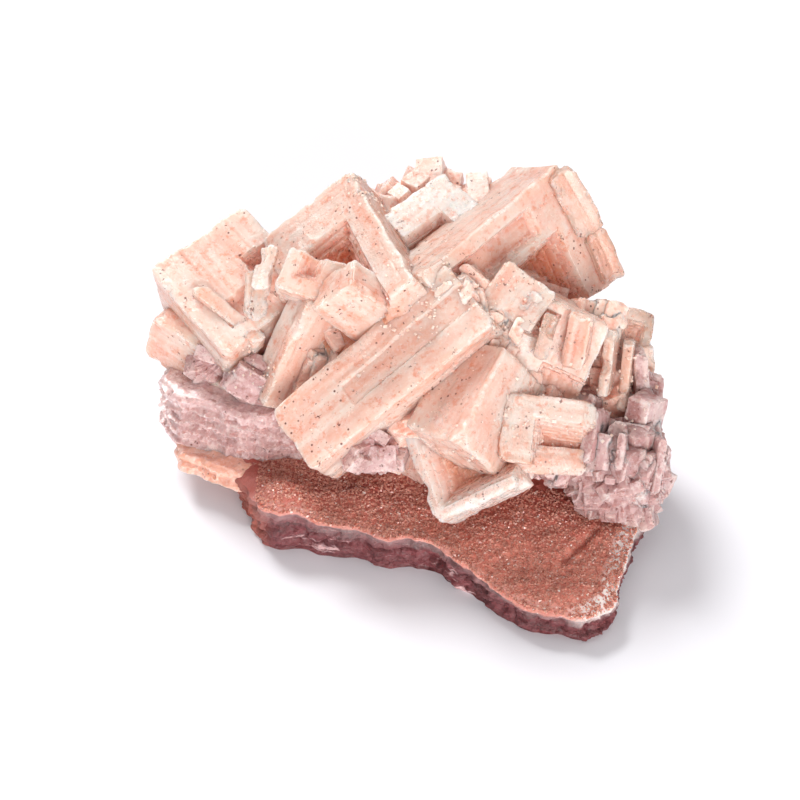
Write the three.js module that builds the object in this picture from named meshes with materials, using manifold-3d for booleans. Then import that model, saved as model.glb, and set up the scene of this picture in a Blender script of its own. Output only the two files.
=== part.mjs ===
// A cluster of intergrown hopper crystals of halite on a slab of granular salt crust.
// Millimetres, +Z up. The origin is on the floor, under the middle of the specimen's bounding box.
import * as THREE from "three";
import { mergeVertices } from "three/addons/utils/BufferGeometryUtils.js";
import Module from "manifold-3d";

// Driving dimensions of the crust slab.
const SLAB_THICKNESS = 10;
const SLAB_BROKEN_EDGE = 1.5;
const LEDGE_THICKNESS = 13;
const FLANGE_THICKNESS = 3;
const FLANGE_RISE = 6;
const SLAB_DIP = 0.05;

// The middle of the specimen's bounding box, measured in the frame that the tables below are given in.
const MIDDLE = [-1.3, 3];

// Clearance between the crystals and the crust that they grew on.
const CONTACT_GAP = 0.3;

// How far a pit that runs out through the side of its crystal is carried past it.
const RUN_OUT = 3;

// How much each terrace of a hopper pit steps in on its closed sides.
const TERRACE_STEP = 0.8;

// Every crystal is a block of halite: the middle of the block, its size along its own X, Y and Z, and its
// turn in degrees about X, then Y, then Z. Its own +Z face is its showing face, which hopper pits sink into.
// A pit has a near corner and a far corner [x, y] on the showing face, its depth and its terraces.
const CRYSTALS = {
  long_bar: {
    at: [-4.5, -0.5, 36.5],
    size: [14.5, 47, 12],
    turn: [38, 20, -54],
    pits: [],
  },
  peak_hopper: {
    at: [19, 22, 43.5],
    size: [42, 29, 15],
    turn: [-61, 9, -133],
    pits: [{ from: [-13.5, -3], to: [4, 14.5 + RUN_OUT], depth: 7, terraces: 3 }],
  },
  chevron_hopper: {
    at: [-12.5, 18, 47],
    size: [25, 36, 12],
    turn: [-9, 36, -164],
    pits: [{ from: [-6.5, -8.5], to: [12.5 + RUN_OUT, 18 + RUN_OUT], depth: 7.5, terraces: 3 }],
  },
  left_fan: {
    at: [-36.5, 24.5, 36.5],
    size: [25, 27, 14],
    turn: [-15, 16, -144],
    pits: [{ from: [-12.5 - RUN_OUT, 0], to: [0, 9], depth: 4.5, terraces: 2 }],
  },
  left_low_cube: {
    at: [-43.5, 22, 25],
    size: [13, 21, 14],
    turn: [-90, 74, 149],
    pits: [{ from: [-6.5 - RUN_OUT, 2], to: [0, 9], depth: 3.5, terraces: 2 }],
  },
  left_prism: {
    at: [-20.5, 9.5, 34],
    size: [26, 16, 7],
    turn: [-85, 64, -150],
    pits: [],
  },
  centre_cube: {
    at: [-19.5, 13.5, 47.5],
    size: [9, 13, 12],
    turn: [-10, 32, -113],
    pits: [],
  },
  centre_slab: {
    at: [-11, 6, 49],
    size: [13, 12, 7],
    turn: [103, 43, 5],
    pits: [],
  },
  white_hopper: {
    at: [6.5, 28, 49.5],
    size: [18, 18, 10],
    turn: [-12, 8, -139],
    pits: [{ from: [-2, -2], to: [9 + RUN_OUT, 9 + RUN_OUT], depth: 5.5, terraces: 3 }],
  },
  step_cube: {
    at: [28, 5.5, 38],
    size: [20, 19, 14],
    turn: [-38, 53, -133],
    pits: [
      { from: [-6, -2.5], to: [4.5, 2.5], depth: 5, terraces: 2 },
      { from: [-7, -8], to: [-2, -4.5], depth: 3, terraces: 1 },
    ],
  },
  front_block: {
    at: [13.5, -8, 33],
    size: [15, 22, 15],
    turn: [-32, 19, 135],
    pits: [],
  },
  v_hopper: {
    at: [11, -11.5, 25.5],
    size: [20, 26, 8],
    turn: [41, -36, -4],
    pits: [{ from: [-7.5, -10.5], to: [10 + RUN_OUT, 13 + RUN_OUT], depth: 5.5, terraces: 4 }],
  },
  far_right_cube: {
    at: [45.5, 18, 32],
    size: [9, 9, 9],
    turn: [-31, 44, -104],
    pits: [],
  },
  far_right_low_cube: {
    at: [46.5, 14.5, 26],
    size: [10, 9, 9],
    turn: [-25, 65, -109],
    pits: [],
  },
  lower_right_block: {
    at: [26, -9, 27],
    size: [14, 19, 14],
    turn: [-23, 46, -100],
    pits: [
      { from: [-4, -5.5], to: [0, -1.5], depth: 4, terraces: 1 },
      { from: [-5, 4], to: [-1, 8], depth: 4, terraces: 1 },
    ],
  },
};

// Druse: lumps of fine crystals that fill the heart of the cluster and show at its right, back and lower
// left. Each is the middle of the lump and its half-sizes.
const DRUSE = {
  heart: { at: [5, 14, 24], reach: [33, 21, 19] },
  front_heart: { at: [14, -2, 24], reach: [21, 12, 14] },
  rear_heart: { at: [8, 28, 30], reach: [24, 16, 17] },
  right_mass: { at: [43, -6, 15], reach: [12, 13, 12] },
  right_rear: { at: [40, 10, 19], reach: [11, 13, 12] },
  back_left: { at: [3, 41, 46], reach: [12, 7, 9] },
  back_right: { at: [18, 39, 44], reach: [11, 7, 10] },
  under_bar: { at: [-9, -7, 23], reach: [8, 7, 6] },
  left_foot: { at: [-36, 20, 25], reach: [14, 9, 7] },
};
const DRUSE_ROUGHNESS = 0.07;

// The crust slab's outline seen from above, anticlockwise from its front left corner.
const SLAB_OUTLINE = [
  [-33, -9], [-31, -15], [-22, -17], [-9, -20], [4, -23], [11, -28], [18, -36], [25, -40.5], [35, -42],
  [40, -38], [45, -23], [49, -13], [52, 4], [44, 20], [24, 31], [-12, 32], [-34, 26], [-43, 12], [-38, 1],
];
const FLANGE_OUTLINE = [[-36, -3], [-42, 1], [-48, 4], [-49, 9], [-45, 12], [-46, 17], [-30, 18], [-26, 4]];
const LEDGE_OUTLINE = [[-24, 2], [-35, 3], [-49, 8], [-53, 15], [-50, 25], [-34, 31], [-20, 28], [-16, 12]];

const wasm = await Module();
wasm.setup();

// A closed three.js geometry as a solid that can be joined and cut.
function solid(geometry) {
  geometry.deleteAttribute("normal");
  geometry.deleteAttribute("uv");
  const merged = mergeVertices(geometry, 1e-4);
  return new wasm.Manifold(
    new wasm.Mesh({
      numProp: 3,
      vertProperties: merged.attributes.position.array,
      triVerts: new Uint32Array(merged.index.array),
    }),
  );
}

// A joined solid back as a flat-shaded geometry.
function geometryOf(made) {
  const mesh = made.getMesh();
  const geometry = new THREE.BufferGeometry();
  geometry.setAttribute("position", new THREE.BufferAttribute(mesh.vertProperties, 3));
  geometry.setIndex(new THREE.BufferAttribute(mesh.triVerts, 1));
  const flat = geometry.toNonIndexed();
  flat.computeVertexNormals();
  return flat;
}

// The placing of a block: turned about X, then Y, then Z, and moved to its middle.
function placing({ at, turn }) {
  const angles = turn.map(THREE.MathUtils.degToRad);
  const matrix = new THREE.Matrix4().makeRotationFromEuler(new THREE.Euler(...angles, "ZYX"));
  return matrix.setPosition(...at);
}

// A hopper pit: a stack of shrinking boxes sunk into the showing face. Sides carried past the block's own
// edge stay where they are; the closed sides step in at each terrace.
function pitBoxes({ size, pits }, matrix) {
  const half = size.map((length) => length / 2);
  return pits.flatMap(({ from, to, depth, terraces }) =>
    Array.from({ length: terraces }, (_, level) => {
      const inset = level * TERRACE_STEP;
      const near = from.map((value, axis) => (value < -half[axis] ? value : value + inset));
      const far = to.map((value, axis) => (value > half[axis] ? value : value - inset));
      const floor = half[2] - (depth * (level + 1)) / terraces;
      const box = new THREE.BoxGeometry(far[0] - near[0], far[1] - near[1], half[2] + 1 - floor);
      box.translate((near[0] + far[0]) / 2, (near[1] + far[1]) / 2, (half[2] + 1 + floor) / 2);
      return solid(box.applyMatrix4(matrix));
    }),
  );
}

// One halite crystal: its block less its hopper pits.
function crystal(block) {
  const matrix = placing(block);
  const body = solid(new THREE.BoxGeometry(...block.size).applyMatrix4(matrix));
  return pitBoxes(block, matrix).reduce((left, pit) => left.subtract(pit), body);
}

// One lump of druse: a ball stretched to its half-sizes, with a wavy faceted surface.
function druseLump({ at, reach }) {
  const lump = new THREE.IcosahedronGeometry(1, 3);
  const points = lump.attributes.position;
  const point = new THREE.Vector3();
  for (let i = 0; i < points.count; i += 1) {
    point.fromBufferAttribute(points, i);
    const swell = Math.sin(7 * point.x + at[0]) * Math.cos(6 * point.y + at[1]);
    const wave = swell + Math.sin(8 * point.z + 5 * point.x);
    point.multiplyScalar(1 + DRUSE_ROUGHNESS * wave);
    points.setXYZ(i, point.x * reach[0], point.y * reach[1], point.z * reach[2]);
  }
  return solid(lump.translate(...at));
}

// A layer of crust: its outline extruded upward from a height, with broken edges that lean in by the same
// amount at the top and the bottom. A growth makes it larger all round.
function crustLayer(outline, bottom, thickness, growth = 0) {
  const shape = new THREE.Shape(outline.map(([x, y]) => new THREE.Vector2(x, y)));
  const layer = new THREE.ExtrudeGeometry(shape, {
    depth: thickness - 2 * SLAB_BROKEN_EDGE + 2 * growth,
    bevelEnabled: true,
    bevelThickness: SLAB_BROKEN_EDGE,
    bevelSize: SLAB_BROKEN_EDGE,
    bevelOffset: growth - SLAB_BROKEN_EDGE,
    bevelSegments: 1,
  });
  return layer.translate(0, 0, bottom + SLAB_BROKEN_EDGE - growth);
}

// The whole crust: the slab, whose top dips toward the front right, with the flange and the ledge on its
// left.
function crust(growth) {
  const slab = crustLayer(SLAB_OUTLINE, 0, SLAB_THICKNESS, growth);
  const points = slab.attributes.position;
  for (let i = 0; i < points.count; i += 1) {
    const dip = SLAB_DIP * Math.max(0, points.getX(i) - points.getY(i));
    const height = points.getZ(i);
    points.setZ(i, height > SLAB_THICKNESS / 2 ? height - dip : height);
  }
  const flange = crustLayer(FLANGE_OUTLINE, FLANGE_RISE, FLANGE_THICKNESS + 1, growth);
  const ledge = crustLayer(LEDGE_OUTLINE, SLAB_THICKNESS - 1, LEDGE_THICKNESS, growth);
  return solid(slab).add(solid(flange)).add(solid(ledge));
}

const crustSolid = crust(0);
const grown = [...Object.values(CRYSTALS).map(crystal), ...Object.values(DRUSE).map(druseLump)];
const joined = grown.reduce((whole, piece) => whole.add(piece)).subtract(crust(CONTACT_GAP));

// Voids that the crystals close off inside the cluster are filled: only its outer skin is kept.
const [clusterSolid] = joined.decompose().sort((one, other) => other.volume() - one.volume());

const halite = new THREE.MeshStandardMaterial({ color: 0xe9bfae, roughness: 0.35, metalness: 0 });
const saltCrust = new THREE.MeshStandardMaterial({ color: 0xb5705c, roughness: 0.9, metalness: 0 });

const clusterMesh = new THREE.Mesh(geometryOf(clusterSolid), halite);
clusterMesh.name = "crystal_cluster";
const slabMesh = new THREE.Mesh(geometryOf(crustSolid), saltCrust);
slabMesh.name = "crust_slab";

const group = new THREE.Group();
group.add(clusterMesh, slabMesh);
group.position.set(-MIDDLE[0], -MIDDLE[1], 0);

export default group;
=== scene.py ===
import itertools
import math

import bpy
import numpy as np
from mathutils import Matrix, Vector


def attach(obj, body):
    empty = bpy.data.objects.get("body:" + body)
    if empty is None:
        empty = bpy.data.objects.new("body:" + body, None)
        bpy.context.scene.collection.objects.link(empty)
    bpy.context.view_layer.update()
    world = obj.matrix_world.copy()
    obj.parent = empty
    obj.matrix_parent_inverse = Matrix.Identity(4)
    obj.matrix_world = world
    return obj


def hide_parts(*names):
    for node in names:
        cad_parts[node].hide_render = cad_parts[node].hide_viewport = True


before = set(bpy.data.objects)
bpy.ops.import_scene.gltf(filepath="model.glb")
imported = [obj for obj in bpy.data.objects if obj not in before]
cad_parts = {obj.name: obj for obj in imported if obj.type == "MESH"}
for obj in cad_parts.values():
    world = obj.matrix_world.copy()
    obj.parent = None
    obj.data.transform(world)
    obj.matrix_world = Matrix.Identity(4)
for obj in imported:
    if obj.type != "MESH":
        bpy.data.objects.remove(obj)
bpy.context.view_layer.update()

# A cluster of hopper crystals of halite on a slab of salt crust. Sizes and places below are in millimetres,
# in the specimen's own frame, whose origin lies MIDDLE away from the middle of its bounding box.
MM = 0.001
MIDDLE = np.array([-1.3, 3.0, 0.0])

# How fine the surfaces are worked out: the grid's cell on large crystals, small crystals and plates.
CELL = 0.42
FINE_CELL = 0.33
PLATE_CELL = 0.5
SMALL_CRYSTAL = 24

# How high growth layers stand: rods on a crystal's ends, then wide, middle and fine layers on its sides.
ROD_HEIGHTS = (0.35, 0.16)
LAYER_HEIGHTS = (0.34, 0.12, 0.09)
WARP = 0.5
CRUMPLE = 0.08
CHIPS = 10

# Each crystal: the middle of its block, its size and its turn in degrees about X, then Y, then Z. Its own
# +Z face is its showing face. Pits: near corner, far corner, depth, terraces and how far each terrace
# steps in. A corner at OUT runs out through the side. Lines: which way the growth lines run on the
# showing face: along "x", along "y", or round the "rim". Corner: the radius of its upright edges.
# Frost and highlight: how white its patches are, partly frost and partly painted highlight; above 0.6 the
# whole crystal is whitened as well.
OUT = 30.0
CRYSTALS = {
    "long_bar": dict(
        at=(-4.0, -1.1, 36.0), size=(16.5, 47, 12), turn=(38, 20, -54), lines="y", corner=1.6,
        pits=[((-2.5, -9), (2.5, OUT), 0.5, 1, 0.5)], frost_and_highlight=0.55,
    ),
    "peak_hopper": dict(
        at=(19, 22, 43.5), size=(42, 29, 15), turn=(-61, 9, -133), lines="rim", corner=1.2,
        pits=[((-13.0, -2.5), (1.5, OUT), 7.5, 8, 0.6), ((-9, -11.5), (OUT, -4.6), 1.7, 3, 0.6)], frost_and_highlight=0.35,
    ),
    "chevron_hopper": dict(
        at=(-12.5, 18, 47), size=(25, 36, 12), turn=(-9, 36, -164), lines="rim", corner=1.0,
        pits=[((-6.5, -7.5), (OUT, OUT), 7.5, 6, 1.15)], frost_and_highlight=0.3,
    ),
    "left_fan": dict(
        at=(-36.5, 24.5, 36.5), size=(25, 27, 14), turn=(-15, 16, -144), lines="y", corner=2.2,
        pits=[((-OUT, -3), (-4, 9.5), 4.0, 4, 0.7), ((-2, 3), (7.5, 9.5), 1.6, 3, 0.6)], frost_and_highlight=0.2,
    ),
    "left_low_cube": dict(
        at=(-43.5, 22, 25), size=(13, 21, 14), turn=(-90, 74, 149), lines="y", corner=2.6,
        pits=[((-OUT, 2), (0, 9), 3.5, 4, 0.5)], frost_and_highlight=0.3,
    ),
    "left_prism": dict(
        at=(-20.5, 9.5, 34), size=(26, 16, 7), turn=(-85, 64, -150), lines="x", corner=0.8,
        pits=[], frost_and_highlight=0.15,
    ),
    "centre_cube": dict(
        at=(-19.5, 13.5, 47.5), size=(9, 13, 12), turn=(-10, 32, -113), lines="rim", corner=0.8,
        pits=[((-OUT, -3.5), (1.0, 1.5), 2.4, 5, 0.45)], frost_and_highlight=0.6,
    ),
    "centre_slab": dict(
        at=(-11, 6, 49), size=(13, 12, 7), turn=(103, 43, 5), lines="x", corner=0.6,
        pits=[], frost_and_highlight=0.2,
    ),
    "white_hopper": dict(
        at=(6.5, 28, 49.5), size=(18, 18, 10), turn=(-12, 8, -139), lines="rim", corner=0.8,
        pits=[((-2, -2), (OUT, OUT), 5.5, 4, 0.6)], frost_and_highlight=0.95,
    ),
    "step_cube": dict(
        at=(28, 5.5, 38), size=(20, 19, 14), turn=(-38, 53, -133), lines="x", corner=1.8,
        pits=[((-8, -7.5), (-1.5, -1.0), 3.0, 4, 0.6), ((2.5, -0.5), (OUT, OUT), 1.6, 2, 0.8)], frost_and_highlight=0.5,
    ),
    "front_block": dict(
        at=(13.5, -8, 33), size=(15, 22, 15), turn=(-32, 19, 135), lines="y", corner=1.2,
        pits=[], frost_and_highlight=0.6,
    ),
    "v_hopper": dict(
        at=(11, -11.5, 25.5), size=(20, 26, 8), turn=(41, -36, -4), lines="rim", corner=0.9,
        pits=[((-7.5, -10.5), (OUT, OUT), 5.5, 8, 0.55)], frost_and_highlight=0.9,
    ),
    "far_right_cube": dict(
        at=(45.5, 18, 32), size=(9, 9, 9), turn=(-31, 44, -104), lines="rim", corner=1.2,
        pits=[((-2, -2), (2.5, 2.5), 1.5, 3, 0.5)], frost_and_highlight=0.3,
    ),
    "far_right_low_cube": dict(
        at=(46.5, 14.5, 26), size=(10, 9, 9), turn=(-25, 65, -109), lines="rim", corner=1.2,
        pits=[], frost_and_highlight=0.4,
    ),
    "far_right_small_cube": dict(
        at=(49, 6, 25.5), size=(7, 7, 7), turn=(-23, 42, -101), lines="rim", corner=0.9,
        pits=[], frost_and_highlight=0.3,
    ),
    "lower_right_block": dict(
        at=(26, -9, 27), size=(14, 19, 14), turn=(-23, 46, -100), lines="rim", corner=1.6,
        pits=[((-2.5, -3.0), (OUT, OUT), 3.4, 6, 0.7)], frost_and_highlight=0.35,
    ),
    "lower_lip": dict(
        at=(27.5, -13.5, 23.5), size=(5, 15, 8), turn=(-21, 50, -98), lines="y", corner=1.4,
        pits=[], frost_and_highlight=0.4,
    ),
    "fan_beam": dict(
        at=(-37.5, 14.5, 38), size=(18, 3.5, 6), turn=(15, 22, -36), lines="x", corner=0.6,
        pits=[], frost_and_highlight=0.35,
    ),
    "fan_petal_left": dict(
        at=(-30, 18, 48.3), size=(11, 4, 1.0), turn=(-2, 24, -104), lines="x", corner=1.6,
        pits=[], frost_and_highlight=0.5,
    ),
    "fan_petal_middle": dict(
        at=(-31, 15, 44.5), size=(12, 4, 1.0), turn=(-27, 30, -99), lines="x", corner=1.6,
        pits=[], frost_and_highlight=0.5,
    ),
    "fan_petal_right": dict(
        at=(-32.5, 15, 44), size=(11, 4, 1.0), turn=(-30, 35, -92), lines="x", corner=1.6,
        pits=[], frost_and_highlight=0.5,
    ),
    "peak_plate": dict(
        at=(34.5, 32, 55.5), size=(15, 6, 4.0), turn=(45, 57, -29), lines="x", corner=1.6,
        pits=[], frost_and_highlight=0.2,
    ),
    "peak_plate_low": dict(
        at=(41, 28.5, 44), size=(12, 5, 4.0), turn=(31, 60, -34), lines="x", corner=1.2,
        pits=[], frost_and_highlight=0.2,
    ),
    "step_cube_chip": dict(
        at=(27.5, -1, 45.5), size=(9, 2.6, 4), turn=(-24, 56, -121), lines="x", corner=0.4,
        pits=[], frost_and_highlight=0.35,
    ),
    "step_cube_bar": dict(
        at=(34, -0.5, 44), size=(11, 5, 5), turn=(-9, 60, -114), lines="x", corner=0.7,
        pits=[], frost_and_highlight=0.35,
    ),
    "right_sliver_near": dict(
        at=(41, 3.5, 35), size=(14, 2.2, 6), turn=(-1, 59, -106), lines="x", corner=0.6,
        pits=[], frost_and_highlight=0.4,
    ),
    "right_sliver_middle": dict(
        at=(45, 4, 31.5), size=(15, 2.5, 6), turn=(5, 60, -98), lines="x", corner=0.6,
        pits=[], frost_and_highlight=0.5,
    ),
    "right_sliver_far": dict(
        at=(48, 5, 29), size=(13, 3, 6), turn=(8, 60, -80), lines="x", corner=0.6,
        pits=[], frost_and_highlight=0.4,
    ),
    "white_hopper_step": dict(
        at=(8.5, 25, 47.5), size=(6, 6, 5), turn=(17, 28, -47), lines="rim", corner=0.6,
        pits=[], frost_and_highlight=0.7,
    ),
    "saddle_block": dict(
        at=(22.5, 8.5, 47.5), size=(12, 10, 10), turn=(41, 19, -32), lines="y", corner=1.2,
        pits=[], frost_and_highlight=0.7,
    ),
}

# Druse: lumps of small cubes grown into one another. Each has its middle, its half-sizes, the number of
# cubes in it and the half-size of a cube.
DRUSE = {
    "druse_heart": dict(at=(5, 14, 24), reach=(33, 21, 19), cubes=260, cube=(2.5, 6.0)),
    "druse_front_heart": dict(at=(17, -0.5, 24), reach=(18, 11, 13), cubes=200, cube=(1.6, 4.0)),
    "druse_rear_heart": dict(at=(8, 28, 30), reach=(24, 16, 17), cubes=240, cube=(2.0, 5.0)),
    "druse_right": dict(at=(43, -6, 15), reach=(10.5, 12, 10.5), cubes=420, cube=(0.7, 2.6)),
    "druse_right_rear": dict(at=(40, 10, 19), reach=(11, 13, 12), cubes=200, cube=(1.2, 3.2)),
    "druse_back_left": dict(at=(3, 41, 46), reach=(12, 7, 9), cubes=60, cube=(2.5, 4.5)),
    "druse_back_right": dict(at=(18, 39, 44), reach=(11, 7, 10), cubes=60, cube=(2.5, 4.5)),
    "druse_under_bar": dict(at=(-9, -7, 23), reach=(8, 7, 6), cubes=90, cube=(1.2, 3.0)),
    "druse_left_foot": dict(at=(-36, 20, 25), reach=(14, 9, 7), cubes=140, cube=(1.2, 3.2)),
}

# Crumbs of broken pale salt: where each patch lies, how far it spreads, how many crumbs and their width.
CRUMBS = {
    "crumbs_on_bar_joint": dict(at=(2, 4, 50), spread=(5, 4, 4), count=350, size=(0.2, 0.9)),
    "crumbs_on_saddle": dict(at=(14, 5, 52), spread=(6, 4, 4), count=300, size=(0.2, 0.9)),
    "crumbs_on_chevron": dict(at=(-7, 33, 60), spread=(4, 3, 3), count=100, size=(0.2, 0.9)),
    "crumbs_at_left_foot": dict(at=(-31, 4, 30), spread=(5, 4, 4), count=200, size=(0.2, 0.8)),
    "crumbs_at_front_foot": dict(at=(20, -12, 31), spread=(7, 5, 5), count=300, size=(0.2, 0.8)),
    "crumbs_on_right": dict(at=(38, -4, 36), spread=(8, 8, 8), count=350, size=(0.2, 0.9)),
    "crumbs_everywhere": dict(at=(5, 15, 45), spread=(60, 60, 60), count=500, size=(0.15, 0.4)),
}

# Laminated masses: stacks of thin plates, nearly in line with one another.
PLATES = {
    "fill_junction": dict(at=(9, 8, 49), reach=(7, 5, 4), count=20, turn=(38, 20, -54), sway=22,
                          length=(3, 8), width=(2, 5), depth=(3, 6)),
    "fill_bar_to_block": dict(at=(4.5, 0, 33.5), reach=(5, 5, 4), count=14, turn=(-32, 19, 135), sway=12,
                              length=(5, 9), width=(3, 6), depth=(4, 7)),
    "fill_by_prism": dict(at=(-17, 8, 33), reach=(5, 4, 3), count=12, turn=(-85, 64, -150), sway=12,
                          length=(5, 9), width=(3, 6), depth=(3, 6)),
    "fill_under_saddle": dict(at=(18, 2, 43.5), reach=(6, 4, 4), count=14, turn=(-38, 53, -133), sway=12,
                              length=(5, 8), width=(2, 5), depth=(4, 6)),
    "fill_block_to_pit": dict(at=(21.5, -3, 31), reach=(4, 4, 5), count=12, turn=(-23, 46, -100), sway=10,
                              length=(5, 9), width=(2, 4), depth=(4, 7)),
    "fill_by_chevron": dict(at=(2, 20, 44), reach=(5, 5, 4), count=12, turn=(-9, 36, -164), sway=12,
                            length=(5, 9), width=(3, 6), depth=(4, 7)),
    "fill_by_fan": dict(at=(-28, 24, 39), reach=(5, 4, 3), count=12, turn=(-15, 16, -144), sway=18,
                        length=(5, 9), width=(3, 6), depth=(4, 7)),
    "fill_far_right": dict(at=(39, 12, 37), reach=(4, 4, 5), count=12, turn=(-31, 44, -104), sway=14,
                           length=(5, 9), width=(3, 6), depth=(4, 7)),
    "right_laminae": dict(at=(43, -6, 20), reach=(9, 10, 9), count=26, turn=(-1, 59, -106), sway=26,
                          length=(6, 13), width=(1.4, 6), depth=(4, 9)),
    "right_low_laminae": dict(at=(43, -9, 14), reach=(7, 7, 6), count=20, turn=(10, 48, -92), sway=30,
                              length=(5, 11), width=(1.4, 5), depth=(3, 7)),
    "front_laminae": dict(at=(31, -10, 22), reach=(6, 5, 5), count=12, turn=(-21, 50, -98), sway=30,
                          length=(4, 8), width=(1.4, 4.0), depth=(4, 7)),
    "foot_laminae": dict(at=(-31, 8, 27), reach=(7, 4, 4), count=12, turn=(15, 22, -36), sway=35,
                         length=(5, 9), width=(1.5, 4.0), depth=(4, 7)),
}

# The crust slab's outline seen from above, anticlockwise from its front left corner.
SLAB_OUTLINE = [
    (-33, -9), (-31, -15), (-22, -17), (-9, -20), (4, -23), (11, -28), (18, -36), (25, -40.5), (35, -42),
    (40, -38), (45, -23), (49, -13), (52, 4), (44, 20), (24, 31), (-12, 32), (-34, 26), (-43, 12), (-38, 1),
]
FLANGE_OUTLINE = [(-36, -3), (-42, 1), (-48, 4), (-49, 9), (-45, 12), (-46, 17), (-30, 18), (-26, 4)]
LEDGE_OUTLINE = [(-24, 2), (-35, 3), (-49, 8), (-53, 15), (-50, 25), (-34, 31), (-20, 28), (-16, 12)]
SLAB_THICKNESS = 10.0
SLAB_DIP = 0.05
SLAB_SEED = 401
FLANGE_BAND = (6.0, 10.0)
LEDGE_BAND = (9.0, 22.0)
# The ledge's marks: no painted shade, a little whitening that is partly frost and partly painted highlight,
# and middling bands.
LEDGE_MARKS = {"recess_shade": 0.0, "frost_and_highlight": 0.2, "band": 0.5}
GRAINS_A_SIDE = 9000
GRAIN_SIZES = (0.2, 0.55)


# ---- numbers that look natural ----

RANDOM_TABLE = np.random.default_rng(11).uniform(-1.0, 1.0, 4096)


def lattice_noise(points, size, seed):
    """Random values on a cubic lattice of the given cell size, blended between the lattice points by the
    smooth step 3t^2 - 2t^3 of the place in the cell. From -1 to 1."""
    cell = points / size
    base = np.floor(cell).astype(np.int64)
    part = cell - base
    step = part * part * (3.0 - 2.0 * part)
    total = np.zeros(points.shape[:-1])
    for corner in itertools.product((0, 1), repeat=3):
        key = base + np.array(corner)
        mixed = key[..., 0] * 73856093 ^ key[..., 1] * 19349663 ^ key[..., 2] * 83492791
        mixed = mixed ^ (seed * 2654435)
        weight = np.prod(np.where(np.array(corner) == 1, step, 1.0 - step), axis=-1)
        total += weight * RANDOM_TABLE[mixed & 4095]
    return total


def rough_noise(points, size, seed, octaves=3):
    """The sum of lattice noises, each at half the size and half the strength of the one before."""
    layers = [lattice_noise(points, size / 2**k, seed + 17 * k) / 2**k for k in range(octaves)]
    return sum(layers) / (2.0 - 0.5 ** (octaves - 1))


def turn_matrix(turn):
    """The turn about X, then Y, then Z, in degrees, as a 3 by 3 matrix."""
    a, b, c = (math.radians(angle) for angle in turn)
    about_x = np.array([[1, 0, 0], [0, math.cos(a), -math.sin(a)], [0, math.sin(a), math.cos(a)]])
    about_y = np.array([[math.cos(b), 0, math.sin(b)], [0, 1, 0], [-math.sin(b), 0, math.cos(b)]])
    about_z = np.array([[math.cos(c), -math.sin(c), 0], [math.sin(c), math.cos(c), 0], [0, 0, 1]])
    return about_z @ about_y @ about_x


# ---- meshes from arrays ----


def make_piece(name, points, faces, values, material, node, smooth_angle=None):
    """A mesh piece from an array of points in millimetres and arrays of three- or four-cornered faces."""
    mesh = bpy.data.meshes.new(name)
    placed = (points - MIDDLE) * MM
    mesh.vertices.add(len(placed))
    mesh.vertices.foreach_set("co", placed.astype(np.float32).ravel())
    corners = np.concatenate([block.ravel() for block in faces])
    sizes = np.concatenate([np.full(len(block), block.shape[1]) for block in faces])
    starts = np.concatenate([[0], np.cumsum(sizes)[:-1]])
    mesh.loops.add(len(corners))
    mesh.loops.foreach_set("vertex_index", corners.astype(np.int32))
    mesh.polygons.add(len(sizes))
    mesh.polygons.foreach_set("loop_start", starts.astype(np.int32))
    mesh.update(calc_edges=True)
    mesh.polygons.foreach_set("use_smooth", np.full(len(sizes), smooth_angle is not None))
    if smooth_angle is not None:
        mesh.set_sharp_from_angle(angle=math.radians(smooth_angle))
    for label, value in values.items():
        layer = mesh.attributes.new(label, "FLOAT", "POINT")
        layer.data.foreach_set("value", np.clip(value, 0.0, 1.0).astype(np.float32))
    mesh.materials.append(material)
    piece = bpy.data.objects.new(name, mesh)
    bpy.context.scene.collection.objects.link(piece)
    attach(piece, "root")
    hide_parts(node)
    return piece


def grid_faces(index):
    """Four-cornered faces between the neighbours of a grid of point numbers."""
    return np.stack([index[:-1, :-1], index[:-1, 1:], index[1:, 1:], index[1:, :-1]], axis=-1).reshape(-1, 4)


def outer_loop(index):
    """The point numbers round the outside of a grid, in order."""
    return np.concatenate([index[0, :-1], index[:-1, -1], index[-1, :0:-1], index[:0:-1, 0]])


def carried_down(outline, height):
    """An outline's x and y repeated at each level of a grid of heights, as points."""
    return np.stack([np.broadcast_to(outline[:, k], height.shape) for k in (0, 1)] + [height], axis=-1)


def pit_depth(x, y, half, pits, seed):
    """How far hopper pits sink below the showing face. In each pit the distance in from its closed sides
    is cut into terraces, and each terrace is one equal step deeper, down to the pit's depth."""
    spread = np.stack([x, y, np.full_like(x, 3.1 * seed)], axis=-1)
    waver = 0.22 * lattice_noise(spread, 2.4, seed) + 0.12 * lattice_noise(spread, 0.9, seed + 5)
    depth = np.zeros_like(x)
    for near, far, deep, terraces, inset in pits:
        sides = [x - near[0], far[0] - x, y - near[1], far[1] - y]
        closed = [near[0] > -half[0], far[0] < half[0], near[1] > -half[1], far[1] < half[1]]
        inward = np.min([side for side, shut in zip(sides, closed) if shut], axis=0)
        inside = (np.min(sides, axis=0) > 0).astype(float)
        level = np.clip(np.floor((inward + waver * inset * 1.6) / inset) + 1.0, 0.0, terraces)
        depth = np.maximum(depth, inside * level * deep / terraces)
    return depth


def rounded(points, half, radius):
    """Rounds a block's edges: a point's offset from the block shrunk by the radius keeps its largest part
    as its whole length, so a corner becomes an arc."""
    core = np.maximum(half - radius[..., None], 0.01)
    nearest = np.clip(points, -core, core)
    offset = points - nearest
    largest = np.abs(offset).max(axis=-1)
    length = np.linalg.norm(offset, axis=-1)
    return nearest + offset * (largest / np.maximum(length, 1e-9))[..., None]


def ledges(value, levels, share):
    """Mixes a value with itself cut into whole levels, which gives flat growth layers with a step
    between."""
    return share * np.round(value * levels) / levels + (1.0 - share) * value


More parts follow.
